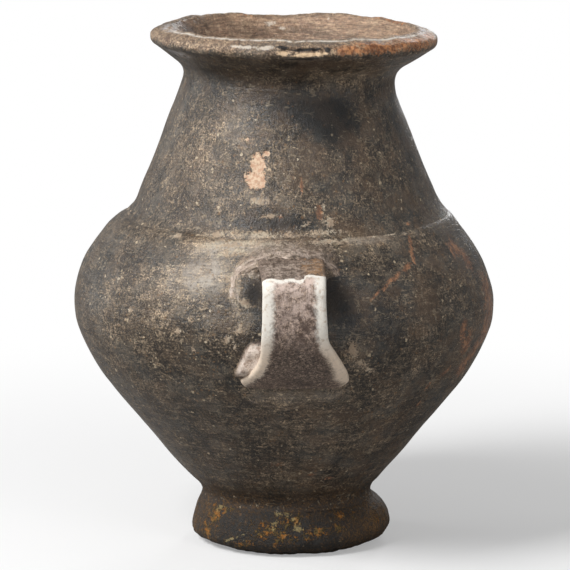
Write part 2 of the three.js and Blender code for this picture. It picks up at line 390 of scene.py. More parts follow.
def new_piece(name, grid, traces, node_names, finish, closed=True):
    """A mesh from a grid of points in mm, which closes round its first side, and round its
    second side too, or else has all its points at one place at each end. Each trace becomes
    a number on every point, which the material reads."""
    count, length = grid.shape[:2]
    index = np.arange(count * length).reshape(count, length)
    if closed:
        index = np.concatenate((index, index[:, :1]), axis=1)
    beside = np.roll(index, -1, axis=0)
    corners = (index[:, :-1], beside[:, :-1], beside[:, 1:], index[:, 1:])
    faces = np.stack(corners, axis=-1).reshape(-1, 4)
    mesh = bpy.data.meshes.new(name)
    metres = grid.reshape(-1, 3) * 0.001 + np.array((0.0, AXIS_Y, 0.0))
    mesh.from_pydata(metres.tolist(), [], faces.tolist())
    for key, values in traces.items():
        layer = mesh.attributes.new(key, "FLOAT", "POINT")
        layer.data.foreach_set("value", np.ascontiguousarray(values, np.float32).ravel())
    if not closed:
        merged = bmesh.new()
        merged.from_mesh(mesh)
        bmesh.ops.remove_doubles(merged, verts=merged.verts, dist=1e-7)
        merged.to_mesh(mesh)
        merged.free()
    mesh.shade_smooth()
    mesh.set_sharp_from_angle(angle=math.radians(50))
    mesh.materials.append(finish)
    piece = bpy.data.objects.new(name, mesh)
    bpy.context.scene.collection.objects.link(piece)
    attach(piece, "root")
    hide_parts(*node_names)


def tone(red, green, blue):
    """The linear colour of a tone given on the screen's scale of 0 to 255."""
    c = np.array((red, green, blue)) / 255.0
    return (*np.where(c < 0.04045, c / 12.92, ((c + 0.055) / 1.055) ** 2.4).tolist(), 1.0)


def dimmed(colour, shade, green=1.0, blue=1.0):
    """A colour multiplied by a shade, its green and blue also by a share of their own."""
    factors = {0: shade, 1: times(shade, green), 2: times(shade, blue)}
    return lay(colour, 1.0, node(shade, "CombineColor", factors).outputs[0], "MULTIPLY")


def coats(colour, *layers):
    """Coats laid over a colour one after the other: a mask, the share it covers, a colour."""
    for mask, share, above in layers:
        colour = lay(colour, times(mask, share), above)
    return colour


def times(first, second):
    """The product of two numbers or sockets."""
    return reckon("MULTIPLY", first, second)


def plus(value, share, base):
    """A share of a value added to a base."""
    return reckon("MULTIPLY_ADD", value, share, base)


def cloud(place, size, detail=2, rough=0.5):
    """Noise about `size` mm from lump to lump."""
    return node(place, "TexNoise", {
        "Vector": place, "Scale": 1000.0 / size, "Detail": detail, "Roughness": rough,
    }).outputs[0]


def patches(place, size, detail, rough, low, high, first=0.0, last=1.0):
    """Soft patches: a cloud, of which the smooth step is taken."""
    return span(cloud(place, size, detail, rough), low, high, first, last)


def mottled(place, ground, patch, *shape):
    """A tone with patches of another one."""
    return lay(tone(*ground), patches(place, *shape), tone(*patch))


def stretched(place, by):
    """A place multiplied along x, y and z: a small factor draws noise out along its axis."""
    return node(place, "VectorMath", {0: place, 1: by}, operation="MULTIPLY").outputs[0]


def trace(place, name):
    """A number that the mesh carries on every point."""
    return node(place, "Attribute", attribute_name=name, attribute_type="GEOMETRY").outputs["Fac"]


def new_group(name, takes, gives=("Mask",)):
    """A node group that takes a place and values by name, and gives a Colour or numbers: its
    tree, the place, and its other inputs and its outputs."""
    tree = bpy.data.node_groups.new(name, "ShaderNodeTree")
    for label, value in {"Place": (0.0, 0.0, 0.0), **takes}.items():
        kind = {1: "NodeSocketFloat", 3: "NodeSocketVector", 4: "NodeSocketColor"}[np.size(value)]
        tree.interface.new_socket(label, in_out="INPUT", socket_type=kind).default_value = value
    for label in gives:
        kind = "NodeSocketColor" if label == "Colour" else "NodeSocketFloat"
        tree.interface.new_socket(label, in_out="OUTPUT", socket_type=kind)
    given = tree.nodes.new("NodeGroupInput").outputs
    return tree, given["Place"], given, tree.nodes.new("NodeGroupOutput").inputs


# Fired clay: soft clouds of the fire, flecks and grit about a millimetre across. A tone of 1
# makes it 1.7 times as bright, a tone of -1 as much darker. Most of the tones that the pieces
# carry mix the clay's own lighter and darker places with painted light and shade.
TONE_BASE = 1.7
tree, place, given, gives = new_group("fired_clay", {
    "Dark": tone(46, 41, 37), "Middle": tone(78, 70, 62), "Light": tone(112, 99, 84),
    "Tone": 0.0, "Grit": 1.0,
}, ("Colour", "Height", "Dullness"))
fire = plus(given["Tone"], 0.2, cloud(place, 30, 3, 0.6))
blotch = cloud(place, 6.5, 4, 0.7)
grain = cloud(place, 1.7, 3, 0.8)
grit = cloud(place, 0.9, 2, 0.7)
flecks = plus(given["Tone"], 0.05, plus(blotch, 0.45, grain))
mixed = lay(given["Dark"], span(fire, 0.34, 0.66), given["Middle"])
mixed = lay(mixed, span(flecks, 0.62, 0.95, 0.0, 0.85), given["Light"])
gritty = plus(given["Grit"], span(grit, 0.34, 0.66, -0.58, 0.72), 1.0)
shade = times(gritty, reckon("POWER", TONE_BASE, given["Tone"]))
tree.links.new(dimmed(mixed, shade), gives["Colour"])
tree.links.new(plus(blotch, 1.4, reckon("ADD", grain, grit)), gives["Height"])
tree.links.new(span(flecks, 0.6, 0.9), gives["Dullness"])

# Strokes of the burnishing pebble: noise drawn out in one direction by a small scale.
tree, place, given, gives = new_group("burnish", {"Drawn Out": (0.1, 0.1, 1.0)}, ("Stroke",))
drawn = stretched(place, given["Drawn Out"])
broad = times(cloud(drawn, 3.4, 2, 0.6), 0.45)
thin = times(cloud(drawn, 1, 2, 0.7), 0.55)
tree.links.new(reckon("ADD", broad, thin), gives["Stroke"])

# Hair scratches: the thin lines where a noise passes through its mean, in broken stretches.
tree, place, given, gives = new_group("scratches", {"Drawn Out": (0.3, 0.3, 1.0), "Share": 0.5})
drawn = stretched(place, given["Drawn Out"])
line = reckon("ABSOLUTE", reckon("SUBTRACT", cloud(drawn, 6), 0.5))
least = reckon("SUBTRACT", 1.0, given["Share"])
gate = reckon("SUBTRACT", cloud(place, 4, 2, 0.6), least)
tree.links.new(times(span(line, 0.004, 0.016, 1.0, 0.0), span(gate, 0.0, 0.1)), gives["Mask"])

# Specks of grit and lime: the middles of some cells of a cell pattern.
tree, place, given, gives = new_group("specks", {"Scale": 300.0, "Share": 0.1, "Size": 0.3})
wobble = node(tree, "TexNoise", {"Vector": place, "Scale": 900.0, "Detail": 2.0})
bent = node(tree, "VectorMath", {
    0: wobble.outputs[1], 1: (0.002, 0.002, 0.002), 2: place,
}, operation="MULTIPLY_ADD").outputs[0]
cells = node(tree, "TexVoronoi", {"Vector": bent, "Scale": given["Scale"]})
lot = node(tree, "SeparateColor", {0: cells.outputs["Color"]}).outputs
reach = times(given["Size"], span(lot[1], 0.0, 1.0, 0.45, 1.1))
inner = reckon("SUBTRACT", reach, cells.outputs["Distance"])
drawn_lot = reckon("LESS_THAN", lot[0], given["Share"])
tree.links.new(times(drawn_lot, span(inner, 0.0, 0.12)), gives["Mask"])

# A crumbled edge round a mark that the mesh carries, its crumbs at two sizes.
tree, place, given, gives = new_group("crumbled", {
    "Mark": 0.0, "Crumbs": 1.2, "Thinned": 0.0, "Softness": 0.12,
})
crumbs = reckon("ADD", cloud(place, 5, 3, 0.7), cloud(place, 1.3, 2, 0.7))
crumbs = times(reckon("SUBTRACT", crumbs, 1.0), given["Crumbs"])
level = reckon("SUBTRACT", reckon("ADD", given["Mark"], crumbs), given["Thinned"])
share = reckon("DIVIDE", level, given["Softness"])
tree.links.new(span(share, 0.0, 1.0), gives["Mask"])


def worked(group, place, **values):
    """One of the groups placed in a material, with its own values."""
    named = {key.replace("_", " "): value for key, value in values.items()}
    group = bpy.data.node_groups[group]
    return node(place, "Group", {"Place": place, **named}, node_tree=group).outputs


def clay_of(place, dark, middle, light, tone_and_painted_light, grit=1.0):
    """Fired clay in three tones: that of its dark clouds, its middle one, that of its flecks."""
    return worked(
        "fired_clay", place, Dark=tone(*dark), Middle=tone(*middle), Light=tone(*light),
        Tone=tone_and_painted_light, Grit=grit,
    )


def strokes(place, x, y, z):
    """Strokes of the pebble, drawn out along the axes whose factor is small."""
    return worked("burnish", place, Drawn_Out=(x, y, z))["Stroke"]


def mark(place, name, crumbs, softness, thinned=0.0):
    """Mask of a mark that the mesh carries, with a crumbled edge."""
    return worked(
        "crumbled", place, Mark=trace(place, name), Crumbs=crumbs, Thinned=thinned,
        Softness=softness,
    )["Mask"]


def dots(place, scale, share, size):
    """Mask of specks: cells to a metre, the share of them that has one, and its size."""
    return worked("specks", place, Scale=scale, Share=share, Size=size)["Mask"]


def new_finish(name):
    """A new material, its Principled BSDF and the place on the object."""
    finish = bpy.data.materials.new(name)
    finish.use_nodes = True
    shader = finish.node_tree.nodes["Principled BSDF"]
    return finish, shader, node(shader, "TexCoord").outputs["Object"]


def finish_with(shader, colour, dullness, height, depth):
    """Links colour, roughness and a bump of some depth in metres to the shader."""
    bump = node(shader, "Bump", {"Height": height, "Distance": depth}).outputs[0]
    for key, value in (("Base Color", colour), ("Roughness", dullness), ("Normal", bump)):
        shader.id_data.links.new(value, shader.inputs[key])
    shader.inputs["Specular IOR Level"].default_value = GLOSS


GLOSS = 0.5
FOOT_PALETTE = ((22, 17, 12), (44, 32, 20), (96, 70, 38))
FOOT_OCHRE = (
    (-54.1, 20.5, 9, 6, 10), (-58, 26, 3, 7, -25), (-47, 25, 9, 3, 25), (-12, 17, 9, 5, 0),
    (-2.5, 21.5, 9, 3.6, 5), (-3, 12.5, 10, 3.4, 0), (12, 14, 10, 3.4, 5), (30.5, 21, 4, 3, 30),
    (27, 16, 4, 3.4, 0), (42.1, 21.2, 2.4, 2.4, 0), (-22, 15, 4, 4.4, 0), (120, 18, 11, 5, 5),
    (-60, 12, 5, 6, 0), (60, 15, 5, 4, 0), (-30, 8, 8, 2.4, 8), (160, 14, 7, 4, -10),
    (-130, 17, 10, 4, 8), (-165, 20, 5, 3, 0),
)
FOOT_LIME = (
    (-37.9, 10.4, 9, 0.8, 25), (-12, 20, 3, 2.4, 40), (-2, 23.5, 3.5, 2, -30), (2, 17, 3, 2.4, 0),
    (-50, 27, 6, 3, 20), (-8, 25, 2.4, 1.4, 0), (100, 15, 6, 1, 10), (-100, 11, 6, 1, -12),
)
FOOT_TONES = (
    (-75, 14, 22, 16, 0.3), (58, 14, 20, 10, 0.9), (2, 30, 30, 8, -0.5), (-8, 15, 40, 8, -1.3),
    (35, 9, 14, 5, 0.4), (10, 6, 60, 4, -0.6), (-36, 16, 9, 8, -0.6),
)

foot_clay, shader, place = new_finish("foot_clay")
clay = clay_of(place, *FOOT_PALETTE, trace(place, "tone"))
crust = mark(place, "ochre", 4.2, 0.9, 0.12)
crust_tone = mottled(place, (112, 90, 44), (178, 116, 42), 3, 3, 0.5, 0.42, 0.6)
colour = coats(
    clay["Colour"],
    (dots(place, 330.0, 0.16, 0.34), 0.5, tone(116, 82, 46)),
    (crust, 0.66, crust_tone),
    (mark(place, "lime", 3.4, 0.7), 0.7, tone(164, 146, 100)),
    (dots(place, 560.0, 0.10, 0.3), 0.6, tone(150, 134, 104)),
)
dullness = plus(crust, 0.15, span(clay["Dullness"], 0.0, 1.0, 0.61, 0.8))
finish_with(shader, colour, dullness, plus(crust, 0.9, clay["Height"]), 0.0006)

radius, z, side = outline(
    outside(0.0, FOOT_TOP),
    joint((outer_radius(FOOT_TOP) - 2.8, FOOT_TOP), (FOOT_HOLLOW_R, FOOT_HOLLOW_Z)),
    joint((FOOT_HOLLOW_R - 0.2, 16.0), (FOOT_HOLLOW_R - 0.8, 9.0), (STANDING_R + 0.5, 4.0)),
    joint((STANDING_R + 0.2, 1.2), (STANDING_R + 1.2, 0.0), (43.0, 0.0)),
)
z = np.maximum(z, 0.0)
new_piece("foot_ring_clay", spun(radius, z), {
    "ochre": near(FOOT_OCHRE, radius, z) - side,
    "lime": near(FOOT_LIME, radius, z) - side,
    "tone": soft(FOOT_TONES, radius, z),
}, ("foot_ring",), foot_clay)

# Floor disc: a flat cake of the same clay, let into the top of the foot from above. It closes
# the hollow foot below and is the bottom of the pot inside.
FLOOR_TOP_Z = 31.0
FLOOR_TOP_R = 42.0
FLOOR_SEAT_R = 45.0
AXIS_R = 0.0

inner_clay, shader, place = new_finish("inner_clay")
clay = clay_of(place, (62, 50, 42), (98, 80, 66), (140, 116, 94), 0.0)
grit = dots(place, 260.0, 0.08, 0.34)
colour = coats(clay["Colour"], (grit, 0.6, tone(176, 156, 130)))
dullness = span(clay["Dullness"], 0.0, 1.0, 0.6, 0.85)
finish_with(shader, colour, dullness, clay["Height"], 0.0005)

top_rows = rows(FLOOR_TOP_R, AXIS_R, 3.0)
under_rows = rows(AXIS_R, FOOT_HOLLOW_R - 0.3, 3.0)
radius, z, side = outline(
    joint(*((r, FOOT_HOLLOW_Z + SEAM) for r in under_rows)),
    joint((FLOOR_SEAT_R, FOOT_TOP - 0.4), (FLOOR_TOP_R, FLOOR_TOP_Z)),
    joint(*((r, FLOOR_TOP_Z - 1.0 + r / FLOOR_TOP_R) for r in top_rows)),
)
edge = ramp(0, 12, radius) * (1.0 - ramp(30, 40, radius))
z = z - 0.35 * edge * (1.0 + waves(turns, radius, 24.0, 61))
new_piece(
    "floor_disc_clay", spun(radius, z), {}, ("floor_disc",), inner_clay, closed=False,
)

# Lower wall: the lower cone, raised in coils on the foot and round the floor, scraped, then
# rubbed with a pebble along the horizontal until the dark skin shone.
WALL_JOINT = (82.0, 91.0)
BODY_OCHRE = (
    (74, 146, 12, 17, -6), (71, 129.6, 10, 11, 10), (65, 119, 11, 7, 30), (61.2, 111, 7, 6, 30),
    (64, 178.5, 7, 5, -20), (67, 171, 6, 7, 0), (43, 185, 1.2, 6, -25), (41, 178.5, 1.3, 5, -10),
    (37, 174.6, 6, 1.4, 26), (32, 171, 6, 1.3, 28), (28, 167.5, 5.5, 1.2, 32),
    (24, 163.4, 4.5, 1, 36), (54, 136, 3.6, 6.5, -16), (57, 126, 6, 7, 10),
    (50.8, 111.6, 4, 1.8, 30), (45.2, 104, 1.2, 3, -10), (46.5, 92, 1.1, 3, 10),
    (60.5, 176, 2, 3, 0), (-5.9, 59.5, 3, 0.9, 0), (10.5, 51.6, 2.5, 1, 5), (20, 48, 3, 1.2, 5),
    (105, 140, 9, 14, 20), (150, 120, 13, 9, 10), (-140, 150, 12, 8, 15), (-105, 105, 7, 10, -20),
    (178, 165, 8, 5, 0), (-160, 80, 9, 6, 0),
)
BODY_LIME = (
    (-55.8, 165.1, 3, 2.2, 40), (-32.1, 161, 1.5, 2.6, 30), (-31, 143, 2.6, 1.5, 0),
    (-38, 176, 4.5, 1.2, 10), (-35, 146, 1.6, 1.1, 0), (-28, 150, 2, 1.5, 0),
    (-24, 152, 1.8, 1.8, 0), (-15.5, 137, 1.3, 4, 30), (-27, 133, 1.3, 1.3, 0),
    (-12, 190, 24, 1.8, 0), (-27, 188, 12, 2, 8), (12, 190.5, 16, 1.5, 0), (-21, 184, 9, 1.6, 12),
    (-17, 186.5, 9, 1.8, -8), (32, 95, 1, 1, 0), (-16.6, 166.5, 3, 7, 0),
    (-13.2, 159.4, 6, 3.2, -20), (-17.4, 174, 2.6, 5, -25), (-15, 179.5, 5, 2.2, 30),
    (18, 126, 5, 2.6, -30), (16, 133, 2.4, 5, 20), (-14, 147, 1.6, 6, -20),
    (-17, 141, 1.4, 5, -35), (21, 121, 4, 1.4, -20), (30, 191.3, 6, 1, 0),
    (37.5, 191.2, 6.5, 1.1, 0), (43.5, 191, 4, 1, 0), (-42.1, 190.6, 4.5, 1.5, 12),
    (-48.2, 150.3, 1.9, 1.7, 0), (-24.2, 156.4, 2.6, 1.4, 0), (-22.3, 188.8, 7, 1.4, 22),
    (-19.7, 158.1, 2.2, 1.4, 0), (-37, 168, 1.2, 2, 20), (19.5, 191.5, 5, 1, 0),
    (49.6, 188.8, 4, 0.8, -10), (12, 191.4, 4, 0.9, 0), (100, 170, 3, 2, 0),
    (140, 150, 2.5, 2.5, 0), (-120, 130, 3, 2, 20),
)
# Tones of the body, among them painted light and shade: a painted sheen on the left of the belly,
# on the shoulder and along the crease, and painted shade in the hollow behind the handle on both
# sides of the strap.
BODY_TONES_AND_PAINTED_LIGHT = (
    (-34, 168, 26, 16, 0.85), (-52, 140, 32, 24, 0.25), (-14, 188, 36, 4.5, 1.35),
    (25, 150, 14, 22, -0.8), (12, 122, 26, 14, -0.5), (-18, 126, 14, 16, -0.4),
    (-30, 92, 40, 20, -0.2), (44, 156, 30, 24, 0.05), (20, 64, 50, 24, 0.1),
    (70, 130, 16, 40, 0.3), (-11, 164.5, 5, 7, -2.2), (12, 162, 11, 17, -2.2),
    (-6, 150, 12, 18, -1.2), (-48, 172, 14, 12, -0.3), (-24, 175, 15, 11, 1.4),
    (27, 190, 24, 3.2, 1.3), (-15.6, 165, 3.6, 8, 1.4), (-14, 151, 7, 8, 0.9), (17, 128, 9, 12, 1),
    (1, 107, 30, 5, 0.8), (-2, 84, 40, 14, 0.4), (-52, 37, 16, 10, 0.4),
)
BODY_FLECKED = (
    (-54, 165, 10, 8, 0.3), (-31, 150, 14, 18, 0.3), (-27, 120, 18, 12, 0.4),
    (-44, 127, 10, 10, 0.25), (17, 124, 8, 12, 0.4), (-17, 160, 7, 12, 0.5),
    (-14, 190, 40, 4, 0.4), (14, 182, 12, 6, 0.3), (150, 140, 30, 20, 0.2),
    (-140, 120, 20, 20, 0.2), (100, 120, 20, 14, 0.2), (5, 58, 24, 8, 0.15),
)


def wall_clay(place):
    """The walls' clay as colour, dullness and height: mottle, strokes of the pebble that lie
    on the body and stand on the neck, grit, rust, and the marks that the mesh carries, with
    painted sheen and painted shade from the tone that it carries."""
    tone_and_painted_light, earthy = trace(place, "tone"), trace(place, "earthy")
    clay = clay_of(place, (32, 28, 25), (61, 53, 45), (128, 114, 96), tone_and_painted_light, 1.25)
    drawn = stretched(place, (0.4, 0.4, 0.9))
    within = clay_of(drawn, (120, 95, 77), (146, 119, 97), (172, 147, 122), tone_and_painted_light, 0.35)
    lying = strokes(place, 0.12, 0.12, 1.0)
    stroke = blend(trace(place, "upright"), lying, strokes(place, 1.0, 1.0, 0.07))
    worn_streaks = patches(place, 14, 5, 0.65, 0.36, 0.64, 0.68, 1.34)
    streak = times(span(stroke, 0.38, 0.62, 0.5, 1.55), worn_streaks)
    busy = reckon("ADD", span(tone_and_painted_light, -0.8, 0.9, 0.04, 0.15), trace(place, "flecked"))
    busy = times(patches(place, 15, 3, 0.6, 0.38, 0.64, 0.15, 1.7), busy)
    lime = mark(place, "lime", 3.4, 0.65, 0.05)
    chip = mark(place, "chip", 1.2, 0.1)
    cream = dots(place, 640.0, busy, 0.34)
    pits = dots(place, 520.0, 0.2, 0.32)
    fine = worked("scratches", place, Drawn_Out=(0.3, 0.3, 1.0), Share=0.5)["Mask"]
    cross = worked("scratches", place, Drawn_Out=(1.0, 1.0, 0.35), Share=0.46)["Mask"]
    sideways = node(place, "SeparateXYZ", {0: place}).outputs[0]
    painted_sheen_streaks = plus(stroke, 0.3, times(cloud(place, 6, 5, 0.7), 0.7))
    # Stains, haze, grey patches of painted sheen, a painted sheen on pale places, brown to the
    # right, rust and pits; then the earthy foot end, scratches, and grit, ochre and lime.
    colour = coats(
        dimmed(clay["Colour"], streak),
        (patches(place, 9, 5, 0.75, 0.5, 0.6, 0.0, 0.45), 1.0, tone(36, 32, 29)),
        (patches(place, 12, 5, 0.78, 0.52, 0.64, 0.0, 0.4),
         span(tone_and_painted_light, -1.5, 0.3), tone(126, 113, 97)),
        # Grey patches of painted sheen.
        (patches(place, 24, 3, 0.6, 0.48, 0.62, 0.0, 0.28), 1.0, tone(84, 86, 85)),
        # Painted sheen: a pale grey veil where the tone is high.
        (span(painted_sheen_streaks, 0.4, 0.58, 0.3, 1.0), span(tone_and_painted_light, 0.5, 1.9, 0.0, 0.8),
         tone(190, 183, 174)),
        (patches(place, 17, 4, 0.7, 0.44, 0.64, 0.0, 0.5),
         span(sideways, -0.1, 0.06, 0.4, 1.0), tone(98, 78, 60)),
        (dots(place, 460.0, busy, 0.4), 0.5, tone(128, 96, 62)),
        (pits, 0.6, tone(22, 19, 17)),
        (earthy, 1.0, clay_of(place, *FOOT_PALETTE, tone_and_painted_light)["Colour"]),
        (reckon("MAXIMUM", fine, cross), 0.5, tone(156, 144, 124)),
        (cream, 0.65, tone(182, 170, 148)),
        (dots(place, 330.0, times(busy, 0.7), 0.34), 0.75, tone(198, 182, 156)),
        (dots(place, 210.0, 0.05, 0.15), 0.9, tone(214, 202, 180)),
        (mark(place, "ochre", 2.2, 0.6, -0.12), 0.8, mottled(
            place, (116, 82, 62), (178, 130, 96), 4, 3, 0.7, 0.42, 0.6)),
        (lime, 0.85, mottled(place, (204, 193, 174), (176, 157, 137), 5, 3, 0.7, 0.42, 0.6)),
    )
    # Painted shade: the colour darkened where the tone is low, and warmed a little everywhere.
    shadow = span(tone_and_painted_light, -2.4, -0.2, 0.25, 1.0)
    rubbed = span(lying, 0.38, 0.62, 0.62, 1.3)
    colour = coats(
        dimmed(colour, shadow, 0.965, 0.92),
        (chip, 1.0, mottled(place, (200, 160, 132), (224, 198, 170), 2, 3, 0.7, 0.4, 0.6)),
        (trace(place, "inside"), 1.0, dimmed(within["Colour"], rubbed)),
    )
    bare = reckon("MAXIMUM", lime, reckon("MAXIMUM", chip, cream))
    dullness = plus(earthy, 0.3, span(clay["Dullness"], 0.0, 1.0, 0.31, 0.5))
    dullness = reckon("ADD", span(tone_and_painted_light, -2.0, -0.4, 0.25, 0.0), plus(bare, 0.35, dullness))
    height = plus(bare, 0.5, plus(pits, -0.6, clay["Height"]))
    return colour, dullness, plus(stroke, 0.9, height)


body_clay, shader, place = new_finish("body_clay")
finish_with(shader, *wall_clay(place), 0.00035)


def wall_traces(radius, z, side=0.0, chips=(), limes=BODY_LIME, ochres=BODY_OCHRE,
                tones=BODY_TONES_AND_PAINTED_LIGHT, flecked=BODY_FLECKED, turn=turns):
    """What the walls' clay reads: marks, which lie on the outside only, tones, how far the
    strokes stand upright, and where the inside begins."""
    marks = {"ochre": ochres, "lime": limes, "chip": chips}
    return {
        **{name: near(places, radius, z, turn) - 2.0 * side for name, places in marks.items()},
        "tone": soft(tones, radius, z, turn),
        "flecked": soft(flecked, radius, z, turn),
        "earthy": 1.0 - ramp(26, 52, z),
        "upright": ramp(186, 199, z),
        "inside": side + 0.0 * z,
    }


radius, z, side = outline(
    outside(FOOT_TOP + SEAM, WALL_JOINT[0]),
    inside(WALL_JOINT[1], 40.0),
    joint((44.0, 32.4), (FLOOR_TOP_R + 0.3, FLOOR_TOP_Z), (FLOOR_SEAT_R + 0.3, FOOT_TOP + SEAM)),
)
new_piece(
    "lower_wall_clay", spun(radius, z), wall_traces(radius, z, side), ("lower_wall",),
    body_clay,
)

# Belly wall: the widest band and the shoulder, luted on a sloping joint. The handle's ends go
# through it, and the clay behind the grip was pressed in with the fingers.
NECK_JOINT = (192.0, 199.0)

radius, z, side = outline(
    outside(WALL_JOINT[0] + SEAM, NECK_JOINT[0]),
    inside(NECK_JOINT[1], WALL_JOINT[1] + SEAM),
)
new_piece(
    "belly_wall_clay", spun(radius, z), wall_traces(radius, z, side), ("belly_wall",),
    body_clay,
)

# Neck wall: a tall cone of two or three coils on the shoulder, set off from it by a crease.
# It was smoothed upright, and its black skin has flaked off pale in one place.
LIP_JOINT = (271.0, 277.0)
CHIP_DEPTH = 0.6
NECK_CHIPS = (
    (-14.9, 231, 4.2, 6.4, 10), (-15.4, 222.5, 6.2, 5, -10), (-21, 243.6, 1.2, 1, 0),
    (-11.5, 236.5, 2.2, 1.6, 0), (140, 232, 4, 3, 20), (-125, 240, 2.5, 3.5, 0),
)
NECK_LIME = (
    (-8, 203.5, 5.5, 1.4, 0), (-15.5, 211, 4.5, 2.2, 0), (-11.4, 193.8, 20, 1.9, 0),
    (12, 194.6, 10, 1.8, 0), (2.3, 198, 7, 1.4, 25), (-26, 193, 12, 1.8, 5), (12, 208, 1.4, 3, 0),
    (13, 200, 4, 3.4, 0), (130, 193, 16, 1.2, 0), (-150, 193, 20, 1.1, 0),
    (-90, 193.5, 12, 1.2, 0), (175, 225, 2.5, 2, 0),
)
NECK_OCHRE = (
    (3.5, 219, 1, 4.5, 0), (-5, 203, 2, 1.4, 0), (10, 205, 2, 4, 0), (47, 195, 2, 0.9, 0),
    (110, 220, 10, 12, 0), (-160, 250, 8, 9, 0),
)
# Tones where the neck runs into the lip, among them painted shade under the lip's flare.
THROAT_TONES_AND_PAINTED_LIGHT = (
    (-44, 277, 20, 9, -0.8), (32, 277, 22, 9, 0.8), (-6, 278, 18, 8, 0.3), (-10, 266, 80, 9, -0.5),
)
# Tones of the neck, among them painted light and shade: a painted shadow of the lip across the top
# of the neck, darkest right of the middle, a painted sheen on its left, a painted highlight below
# the chip, a painted sheen along the crease and painted shade just above it.
NECK_TONES_AND_PAINTED_LIGHT = (
    (-38, 236, 20, 22, 0.6), (-14, 218, 22, 18, 0.6), (-27, 250, 13, 10, 0.5),
    (-12.6, 211, 5, 2.2, 1.3), (-13, 207, 9, 2.4, -0.7), (20, 253, 15, 12, -2.4),
    (6, 259, 18, 9, -1.1), (-10, 267, 16, 6, -0.5), (-6, 199.5, 22, 4.5, -1.7),
    (14, 198, 8, 3, -0.5), (-6, 193, 46, 3, 1.3), (52, 196, 14, 6, -0.2), (28, 226, 18, 20, -0.1),
    (50, 222, 16, 24, 0.2), (70, 240, 12, 26, -0.7), (-58, 212, 14, 18, 0.4),
) + THROAT_TONES_AND_PAINTED_LIGHT
NECK_FLECKED = (
    (14, 203, 7, 7, 0.5), (-30, 232, 14, 18, 0.2), (-8, 197, 40, 6, 0.3), (40, 210, 12, 12, 0.15),
    (-12, 262, 12, 6, 0.3), (150, 220, 30, 20, 0.15),
)

radius, z, side = outline(
    outside(NECK_JOINT[0] + SEAM, LIP_JOINT[0]),
    inside(LIP_JOINT[1], NECK_JOINT[1] + SEAM),
)
radius = radius - CHIP_DEPTH * ramp(-0.1, 0.3, near(NECK_CHIPS, radius, z) - 2.0 * side)
new_piece(
    "neck_wall_clay", spun(radius, z), wall_traces(
        radius, z, side, NECK_CHIPS, NECK_LIME, NECK_OCHRE, NECK_TONES_AND_PAINTED_LIGHT, NECK_FLECKED),
    ("neck_wall",), body_clay,
)

# Rim lip: a coil bent outwards and rounded between the fingers. Its edge is worn to the brown
# clay, black slip is left in patches, and a shallow chip is broken out of the front. Its colour
# also holds painted sheen and glints, and painted shadow in the chip and under the lip.
LIP_BEND = (61.1, 276.4)
LIP_SPRING = (67.6, 280.4)
LIP_EDGE = (78.1, 293.2)
LIP_EDGE_ROUND = 4.5
CREST = (71.5, 296.6)
CREST_ROUND = 3.4
LIP_INSIDE = (60.0, 287.0)
LIP_STEP = 0.6
LIP_R = 80.0
LIP_CHIP = (1.6, 33.8, 12.6, 2.6, 1.5)
RIM_DIP = 1.7
BACK_RISE = 0.5
FRONT_RISE = 1.6


def bow(start, bend, stop, count):
    """Points of a curve from start to stop that leans towards the bend: a quadratic Bezier."""
    t = np.linspace(0.0, 1.0, count)[:, None]
    a, b, c = (np.array(p, float) for p in (start, bend, stop))
    return a * (1 - t) ** 2 + 2 * b * t * (1 - t) + c * t ** 2


def bend_round(centre, round_r, first, last, count):
    """Points of an arc round a centre, from the first to the last angle in degrees."""
    angle = np.radians(np.linspace(first, last, count))
    return np.array(centre) + round_r * np.stack((np.cos(angle), np.sin(angle)), axis=-1)


def even(points, step):
    """The same path with points an even step apart, and the distance along it."""
    length = np.concatenate(([0.0], np.cumsum(np.hypot(*np.diff(points, axis=0).T))))
    along = rows(0.0, length[-1], step)
    return np.stack([np.interp(along, length, points[:, k]) for k in (0, 1)], axis=-1), along


lip_foot = (float(outer_radius(LIP_JOINT[0])), LIP_JOINT[0] + SEAM)
throat = (float(inner_radius(LIP_JOINT[0])), LIP_JOINT[1] + SEAM)
lip_path, along = even(np.concatenate((
    bow(lip_foot, LIP_BEND, LIP_SPRING, 16),
    bend_round(LIP_EDGE, LIP_EDGE_ROUND, -52.0, 78.0, 14),
    bend_round(CREST, CREST_ROUND, 66.0, 150.0, 10),
    bow(LIP_INSIDE, (57.0, 282.5), throat, 12),
)), LIP_STEP)
worn = ramp(24, 32, along) * (1.0 - ramp(44, along[-1], along))
away = (turns - math.radians(LIP_CHIP[0])) * LIP_EDGE[0]
chipped = 1.0 - np.hypot(away / LIP_CHIP[2], (along - LIP_CHIP[1]) / LIP_CHIP[3])
chipped = chipped + 0.25 * waves(turns, along, 5.0, 73)
relief = (
    skin(turns, LIP_JOINT[0]) * (1.0 - ramp(0, 9, along)) - 0.35 * ramp(0, 9, along)
    + 0.24 * ramp(0, 9, along) * (1.0 - ramp(50, along[-1], along)) * waves(turns, along, 40.0, 71)
    + 0.16 * worn * waves(turns, along, 9.0, 72)
    + 0.08 * worn * waves(turns, along, 3.5, 74)
    - LIP_CHIP[4] * ramp(0.0, 0.3, chipped)
)
radius, z = raised(lip_path[:, 0], lip_path[:, 1], relief)
back = apart(turns, 200.0)
dip = RIM_DIP * (ramp(-0.75, -0.35, back) - ramp(-0.02, 0.10, back))
rise = BACK_RISE * ramp(0.3, 0.8, -np.cos(turns))
z = z + (rise - dip) * ramp(278, 292, z)
z = z + FRONT_RISE * bell(turns, 0.26, 0.8) * ramp(289, 297, z)
z = z - 0.3 * worn * (1 + waves(turns, 0.0, 26.0, 75)) * ramp(282, 294, z)

